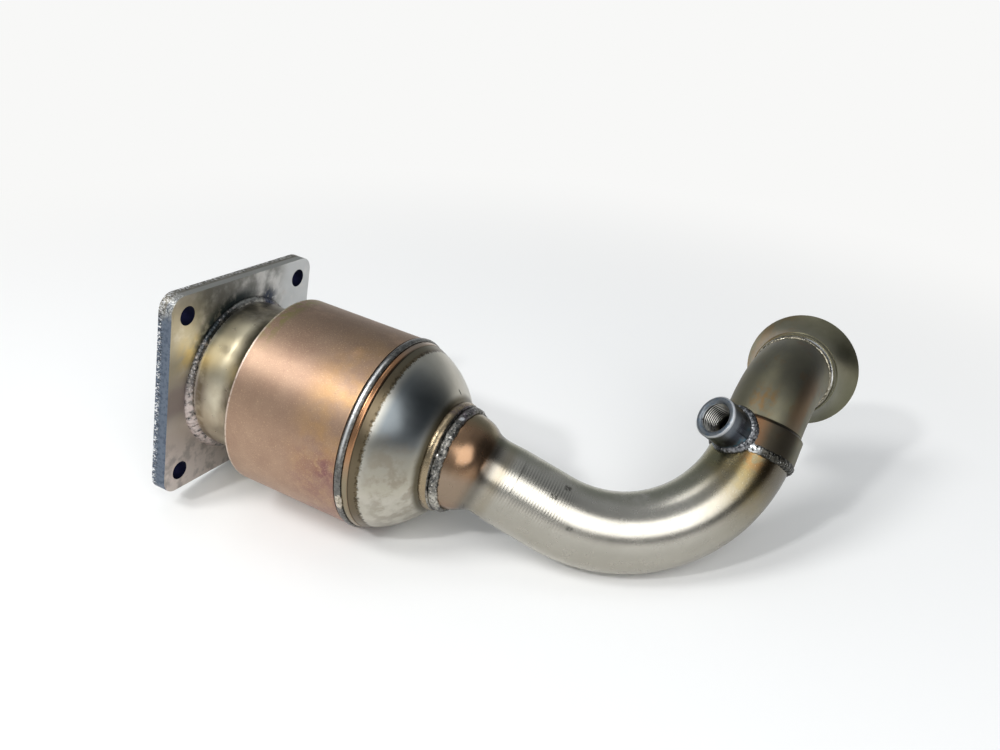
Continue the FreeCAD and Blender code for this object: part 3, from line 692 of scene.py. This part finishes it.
def beadRing(bead):
    # a ring of weld metal: a flattened round section spun about the tube's axis, then rippled
    mesh = bmesh.new()
    bmesh.ops.create_circle(mesh, segments=bead["sides"], radius=1.0)
    stretch = Matrix.Diagonal((bead["wide"], bead["high"], 1, 1))
    lean = Matrix.Rotation(math.radians(bead["lean"]), 4, "Z")
    placing = Matrix.Translation((bead["x"], bead["ring"], 0)) @ lean @ stretch
    bmesh.ops.transform(mesh, matrix=placing, verts=mesh.verts)
    steps = round(2 * math.pi * bead["ring"] / bead["step"])
    bmesh.ops.spin(mesh, geom=mesh.edges[:], cent=(0, 0, 0), axis=(1, 0, 0), angle=2 * math.pi,
                   steps=steps, use_merge=True)
    slimAt, slimHalf, slimShare = bead.get("slim", (0, 0, 1.0))
    for spot in mesh.verts:
        radial = Vector((0, spot.co.y, spot.co.z)).normalized()
        centre = Vector((bead["x"], 0, 0)) + radial * bead["ring"]
        off = abs((math.degrees(math.atan2(spot.co.z, spot.co.y)) - slimAt + 180) % 360 - 180)
        share = slimShare + (1 - slimShare) * min(1, max(0, (off - slimHalf) / slimFade))
        out = (spot.co - centre) * share
        spot.co = centre + out + out.normalized() * rippled(spot.co, bead) * share
    return mesh


# the heavy bead between the flange and the neck
inletBead = {
    "x": 10.2, "ring": 44.5, "wide": 3.9, "high": 1.9, "lean": -45, "sides": 16, "step": 0.45,
    "slim": (100, 60, 0.55),
    "pitch": 2.4, "bow": 0.7, "uneven": 1.4, "height": 0.55, "lump": 0.45, "lumpScale": 0.4,
}
inletMetal = makeFinish("inlet_weld_metal", lie, inletBeadLook)
finishPiece("inlet_bead", beadRing(inletBead), lie, inletMetal, "weld_bead", "inlet_weld")

# the seam bead round the can, which the part rests on
seamBead = {
    "x": 116.6, "ring": 54.58, "wide": 2.0, "high": 1.0, "lean": 0, "sides": 14, "step": 0.5,
    "pitch": 1.5, "bow": 0.7, "uneven": 0.7, "height": 0.12, "lump": 0.1, "lumpScale": 0.8,
}
seamMetal = makeFinish("seam_weld_metal", lie, seamBeadLook)
finishPiece("seam_bead", beadRing(seamBead), lie, seamMetal, "weld_bead", "seam_weld")

# the outlet bead: a smooth ridge on the cone's side and a rippled crest on the bell's side
outletBead = {
    "ridge": {
        "x": 152.3, "ring": 29.2, "wide": 3.2, "high": 1.9, "lean": 0, "sides": 12, "step": 0.5,
        "pitch": 9.0, "bow": 0.2, "uneven": 1.0, "height": 0.1, "lump": 0.12, "lumpScale": 0.3,
    },
    "crest": {
        "x": 157.7, "ring": 27.8, "wide": 2.8, "high": 1.9, "lean": 0, "sides": 16, "step": 0.4,
        "pitch": 2.9, "bow": 0.9, "uneven": 1.8, "height": 0.4, "lump": 0.55, "lumpScale": 0.3,
    },
}
outletMesh = beadRing(outletBead["ridge"])
crestMesh = beadRing(outletBead["crest"])
crestData = bpy.data.meshes.new("crest")
crestMesh.to_mesh(crestData)
crestMesh.free()
outletMesh.from_mesh(crestData)
bpy.data.meshes.remove(crestData)
outletMetal = makeFinish("outlet_weld_metal", lie, outletBeadLook)
finishPiece("outlet_bead", outletMesh, lie, outletMetal, "weld_bead", "outlet_weld")

# the bead at the socket's mouth
jointBead = {
    "x": -1.7, "ring": 22.4, "wide": 2.7, "high": 1.7, "lean": 14, "sides": 14, "step": 0.4,
    "pitch": 2.5, "bow": 0.9, "uneven": 1.4, "height": 0.4, "lump": 0.45, "lumpScale": 0.45,
}
jointMetal = makeFinish("joint_weld_metal", socketPlace, jointBeadLook)
finishPiece("joint_bead", beadRing(jointBead), socketPlace, jointMetal, "weld_bead", "joint_weld")

# the thin bead at the flare's mouth
flareBead = {
    "x": -1.5, "ring": 22.3, "wide": 2.1, "high": 1.1, "lean": 20, "sides": 12, "step": 0.45,
    "pitch": 1.6, "bow": 0.6, "uneven": 0.8, "height": 0.1, "lump": 0.15, "lumpScale": 0.8,
}
flareMetal = makeFinish("flare_weld_metal", flarePlace, flareBeadLook)
finishPiece("flare_bead", beadRing(flareBead), flarePlace, flareMetal, "weld_bead", "flare_weld")
print("ring beads")


# the pipe's belled end: a smooth skin from the rim over the rounded shoulder and the waist to the tube
bell = {
    "rings": [  # millimetres from the bell's start, and the radius there
        (-2.8, 27.8), (-1.4, 27.65), (0, 27.45), (2, 27.1), (4, 26.8), (6, 26.35), (8, 25.65),
        (10, 24.6), (12, 23.3), (14, 22.3), (16, 21.78), (18, 21.62), (20, 21.66), (22.5, 21.8),
        (25, 21.98), (28, 22.16), (30.6, 22.25),
    ],
    "segments": 96,
    "taper": 13.0,  # the length of the run that the skin takes over from the solid
    "tuck": (1.0, 0.25),  # how much further on and further in the last ring dips under the tube
    "crease": 40,
}


def bellStation(along):
    # the place on the pipe's centre line at a distance from the bell's start
    easeLength = line["easeRadius"] * math.radians(line["easeAngle"])
    if along < 0:
        return lie @ feed(line["bellX"] + along)
    if along < line["bellLength"]:
        return bellPlace @ feed(along)
    past = along - line["bellLength"]
    if past < easeLength:
        return waistPlace @ bend(line["easeRadius"], math.degrees(past / line["easeRadius"]))
    return runPlace @ feed(past - easeLength)


def belledPipe():
    mesh = solidCopy("front_pipe", runPlace)
    everything = mesh.verts[:] + mesh.edges[:] + mesh.faces[:]
    bmesh.ops.bisect_plane(mesh, geom=everything, dist=cutGap, plane_co=(bell["taper"], 0, 0),
                           plane_no=(1, 0, 0), clear_inner=True)
    last, lastRadius = bell["rings"][-1]
    further, deeper = bell["tuck"]
    previous = []
    for along, radius in [*bell["rings"], (last + further, lastRadius - deeper)]:
        made = bmesh.ops.create_circle(mesh, segments=bell["segments"], radius=radius)["verts"]
        station = runPlace.inverted() @ bellStation(along)
        square = station.to_3x3().col[0].to_track_quat("Z", "Y").to_matrix().to_4x4()
        bmesh.ops.transform(mesh, matrix=Matrix.Translation(station.translation) @ square, verts=made)
        ring = list({e for v in made for e in v.link_edges})
        if previous:
            bmesh.ops.bridge_loops(mesh, edges=previous + ring)
        previous = ring
    return mesh


finishPiece("belled_pipe", belledPipe(), runPlace, pipeSteel, "pipe_stainless", "front_pipe",
            crease=bell["crease"])


# the bead round the sensor boss: a flat ring bent down onto the socket, like a saddle
bossBead = {
    "x": 0.0, "ring": 12.6, "wide": 2.3, "high": 1.3, "lean": -35, "sides": 12, "step": 0.4,
    "pitch": 1.9, "bow": 0.6, "uneven": 0.9, "height": 0.35, "lump": 0.3, "lumpScale": 0.7,
    "socket": 23.8,  # the radius of the tube that the boss stands on
    "lift": 0.5,
}
saddle = beadRing(bossBead)
tubeAxis = bossPlace.to_3x3().inverted() @ socketPlace.to_3x3() @ Vector((1, 0, 0))
across = tubeAxis.cross(Vector((1, 0, 0))).normalized()
for spot in saddle.verts:
    spot.co.x += math.sqrt(bossBead["socket"] ** 2 - spot.co.dot(across) ** 2) + bossBead["lift"]
bossMetal = makeFinish("boss_weld_metal", bossPlace, bossBeadLook)
finishPiece("boss_bead", saddle, bossPlace, bossMetal, "weld_bead", "sensor_boss_weld")


# the sensor boss with its M18 x 1.5 thread: the solid's outside, and a bore drawn up turn by turn
thread = {
    "bore": 8.25,
    "depth": 0.75,
    "pitch": 1.5,
    "low": 25.6,
    "high": 39.6,
    "step": 0.25,
    "fades": (6, 3),  # the steps over which the thread rises at its foot and dies out at its mouth
    "gap": 0.02,  # how near the bore a point counts as on it
    "crease": 30,
}


def boreFaces(mesh):
    # the solid's faces that belong to the wall of its bore
    return [f for f in mesh.faces
            if all(abs(math.hypot(v.co.y, v.co.z) - thread["bore"]) < thread["gap"] for v in f.verts)]


def threadedBoss():
    mesh = solidCopy("sensor_boss", bossPlace)
    walls = boreFaces(mesh)
    walls += [e for f in walls for e in f.edges] + [v for f in walls for v in f.verts]
    bmesh.ops.bisect_plane(mesh, geom=list(dict.fromkeys(walls)), dist=cutGap,
                           plane_co=(thread["low"], 0, 0), plane_no=(1, 0, 0))
    upper = [f for f in boreFaces(mesh) if f.calc_center_median().x > thread["low"]]
    bmesh.ops.delete(mesh, geom=upper, context="FACES")
    ring = [e for e in mesh.edges
            if e.is_boundary and all(abs(v.co.x - thread["low"]) < thread["gap"] / 2 for v in e.verts)]
    rings = round((thread["high"] - thread["low"]) / thread["step"])
    rise, fall = thread["fades"]
    for count in range(1, rings + 1):
        grown = bmesh.ops.extrude_edge_only(mesh, edges=ring)["geom"]
        ring = [item for item in grown if isinstance(item, bmesh.types.BMEdge) and item.is_boundary]
        fade = min(1, count / rise, (rings - count) / fall)
        for spot in {v for e in ring for v in e.verts}:
            spot.co.x = thread["low"] + count * thread["step"]
            turn = math.atan2(spot.co.z, spot.co.y) / (2 * math.pi)
            phase = (spot.co.x / thread["pitch"] + turn) % 1
            radius = thread["bore"] + fade * thread["depth"] * (1 - abs(2 * phase - 1))
            scale = radius / math.hypot(spot.co.y, spot.co.z)
            spot.co.y *= scale
            spot.co.z *= scale
    bmesh.ops.remove_doubles(mesh, verts=mesh.verts, dist=thread["gap"])
    return mesh


finishPiece("threaded_boss", threadedBoss(), bossPlace, bossSteel, "boss_steel", "sensor_boss",
            crease=thread["crease"])


# the open cells of the brick, as far as they show down the neck
cells = {"face": 49.9, "rise": 1.3, "pitch": 1.27, "wall": 0.17, "reach": 45.0}


def honeycomb():
    mesh = bmesh.new()
    count = 2 * round(cells["reach"] / cells["pitch"])
    bmesh.ops.create_grid(mesh, x_segments=count, y_segments=count, size=count * cells["pitch"] / 2)
    outside = [f for f in mesh.faces if f.calc_center_median().length > cells["reach"]]
    bmesh.ops.delete(mesh, geom=outside, context="FACES")
    rims = bmesh.ops.inset_individual(mesh, faces=mesh.faces[:], thickness=cells["wall"] / 2)["faces"]
    walls = set(rims)
    floors = [f for f in mesh.faces if f not in walls]
    wells = bmesh.ops.extrude_discrete_faces(mesh, faces=floors)["faces"]
    wellVerts = list({v for f in wells for v in f.verts})
    bmesh.ops.translate(mesh, vec=(0, 0, -cells["rise"]), verts=wellVerts)
    return mesh


facing = lie @ feed(cells["face"] - cells["rise"]) @ tilt(90)
finishPiece("brick_cells", honeycomb(), facing, cordierite, "cordierite", crease=0)


# tack of pale filler metal on the seam
tack = {
    "x": 117.2,
    "r": 54.7,
    "turn": 201,
    "size": (2.0, 1.5, 6.0),  # half its size along the can, out from it and round it
    "subdivisions": 4,
    "lump": 0.22,
    "lumpScale": 2.1,
}
blob = bmesh.new()
bmesh.ops.create_icosphere(blob, subdivisions=tack["subdivisions"], radius=1.0)
for spot in blob.verts:
    spot.co *= 1 + tack["lump"] * noise.noise(spot.co * tack["lumpScale"])
tackPlace = roll(tack["turn"]) @ Matrix.Translation((tack["x"], tack["r"], 0))
bmesh.ops.transform(blob, matrix=tackPlace @ Matrix.Diagonal((*tack["size"], 1)), verts=blob.verts)
tackMetal = makeFinish("tack_weld_metal", lie, weldLook("#8c8474", "#d8cfc0", "#f4efe4", 0.5))
finishPiece("seam_tack", blob, lie, tackMetal, "weld_bead")


aim = Vector((0.16, 0.03, floorLevel + 0.05))
sheet = {
    # the pale floor, in metres
    "colour": "#f8f8f7",
    "radius": 14.0,
    "segments": 96,
    "plainFrom": (0.5, None, 0.26),  # how far from the part it stops answering to the lamps, and how softly
}
studio = {
    # a pale horizon with a grey room above it, and a dark side that gives the metal its contrast
    "heights": [(0.05, "#f4f4f4"), (0.95, "#a2a6aa"), (0.13, "#b6b9ba"), (0.4, "#9da1a5")],
    "dark": "#3a3e42",
    "darkSide": (0.5, None, 0.27),  # towards +X
    "darkAbove": (0.11, None, 0.05),
}
lamps = {
    # azimuth from +Y towards +X, elevation, distance, width, height, watts, and whether metal mirrors it
    "right_box": (137, 41, 2.4, 1.7, 1.7, 27, True),
    "left_box": (-136, 49, 2.2, 0.6, 0.6, 16, True),
    "near_key": (-160, 40, 2.2, 0.16, 0.16, 13, False),  # for the crisp shadow alone
    "overhead": (-60, 76, 2.2, 0.7, 0.7, 3, True),
}
view = {
    # a normal lens from the near side, above the part and leaning slightly; millimetres on the flange's axes
    "seat": (336.65, -421.08, 255.47),
    "right": (0.88415, 0.43148, 0.17914),
    "down": (0.32662, -0.29671, -0.89737),
    "ahead": (-0.33405, 0.85193, -0.40327),
    "sensor": 36.0,
    "lens": 34.66,
    "farthest": 100,  # metres
}


def stageFloor():
    # far from the part the sheet only shows its colour, so that it runs on evenly to the horizon
    data = bpy.data.meshes.new("floor")
    mesh = bmesh.new()
    bmesh.ops.create_circle(mesh, segments=sheet["segments"], radius=sheet["radius"], cap_ends=True)
    bmesh.ops.translate(mesh, vec=(0, 0, floorLevel), verts=mesh.verts)
    mesh.to_mesh(data)
    mesh.free()
    floor = bpy.data.objects.new("floor", data)
    bpy.context.scene.collection.objects.link(floor)
    paper = bpy.data.materials.new("white_paper")  # matt and nearly white
    paper.use_nodes = True
    tree = paper.node_tree
    tree.nodes.clear()
    white = toLinear(sheet["colour"])
    lit = addNode(tree, "ShaderNodeBsdfDiffuse", {"Color": white})
    plain = addNode(tree, "ShaderNodeEmission", {"Color": white, "Strength": 1.0})
    spot = addNode(tree, "ShaderNodeTexCoord").outputs["Object"]
    fromPart = addNode(tree, "ShaderNodeVectorMath", {0: spot, 1: (aim.x, aim.y, 0)}, operation="SUBTRACT")
    reach = addNode(tree, "ShaderNodeVectorMath", {0: fromPart}, operation="LENGTH").outputs["Value"]
    path = addNode(tree, "ShaderNodeLightPath").outputs
    mirrored = addNode(tree, "ShaderNodeMath", {0: path["Is Glossy Ray"], 1: path["Is Transmission Ray"]},
                       operation="MAXIMUM")
    seen = addNode(tree, "ShaderNodeMath", {0: path["Is Camera Ray"], 1: mirrored}, operation="MAXIMUM")
    far = windowMask(tree, reach, *sheet["plainFrom"])
    share = addNode(tree, "ShaderNodeMath", {0: far, 1: seen}, operation="MULTIPLY")
    mix = addNode(tree, "ShaderNodeMixShader", {0: share, 1: lit, 2: plain})
    addNode(tree, "ShaderNodeOutputMaterial", {"Surface": mix})
    data.materials.append(paper)


def stageWorld():
    world = bpy.data.worlds.new("studio")
    bpy.context.scene.world = world
    world.use_nodes = True
    tree = world.node_tree
    tree.nodes.clear()
    towards = addNode(tree, "ShaderNodeTexCoord").outputs["Generated"]
    split = addNode(tree, "ShaderNodeSeparateXYZ", {0: towards}).outputs
    room = addNode(tree, "ShaderNodeValToRGB", {"Fac": split["Z"]}, stops=studio["heights"])
    side = windowMask(tree, split["X"], *studio["darkSide"])
    above = windowMask(tree, split["Z"], *studio["darkAbove"])
    dark = addNode(tree, "ShaderNodeMath", {0: side, 1: above}, operation="MULTIPLY")
    colour = addNode(tree, "ShaderNodeMix", {
        "Factor": dark,
        "A": room,
        "B": toLinear(studio["dark"]),
    }, data_type="RGBA").outputs["Result"]
    light = addNode(tree, "ShaderNodeBackground", {"Color": colour, "Strength": 1.0})
    addNode(tree, "ShaderNodeOutputWorld", {"Surface": light})


def stageLamps():
    for name, (azimuth, elevation, distance, width, height, watts, mirrored) in lamps.items():
        data = bpy.data.lights.new(name, "AREA")
        data.shape = "RECTANGLE"
        data.size = width
        data.size_y = height
        data.energy = watts
        lamp = bpy.data.objects.new(name, data)
        bpy.context.scene.collection.objects.link(lamp)
        bearing = math.radians(azimuth)
        climb = math.radians(elevation)
        level = Vector((math.sin(bearing), math.cos(bearing), 0)) * math.cos(climb)
        away = level + Vector((0, 0, math.sin(climb)))
        lamp.location = aim + away * distance
        lamp.rotation_euler = away.to_track_quat("Z", "Y").to_euler()
        lamp.visible_glossy = mirrored


def stageCamera():
    right, down, ahead = (Vector(view[name]) for name in ("right", "down", "ahead"))
    turn = Matrix((right, -down, -ahead)).transposed()
    data = bpy.data.cameras.new("camera")
    data.sensor_width = view["sensor"]
    data.lens = view["lens"]
    data.clip_end = view["farthest"]
    camera = bpy.data.objects.new("camera", data)
    bpy.context.scene.collection.objects.link(camera)
    seat = Matrix.Translation(lie @ Vector(view["seat"]) * mm)
    camera.matrix_world = seat @ (lie.to_3x3() @ turn).to_4x4()
    bpy.context.scene.camera = camera


stageFloor()
stageWorld()
stageLamps()
stageCamera()
bpy.context.scene.view_settings.view_transform = "Standard"
print("stage, lamps and camera")
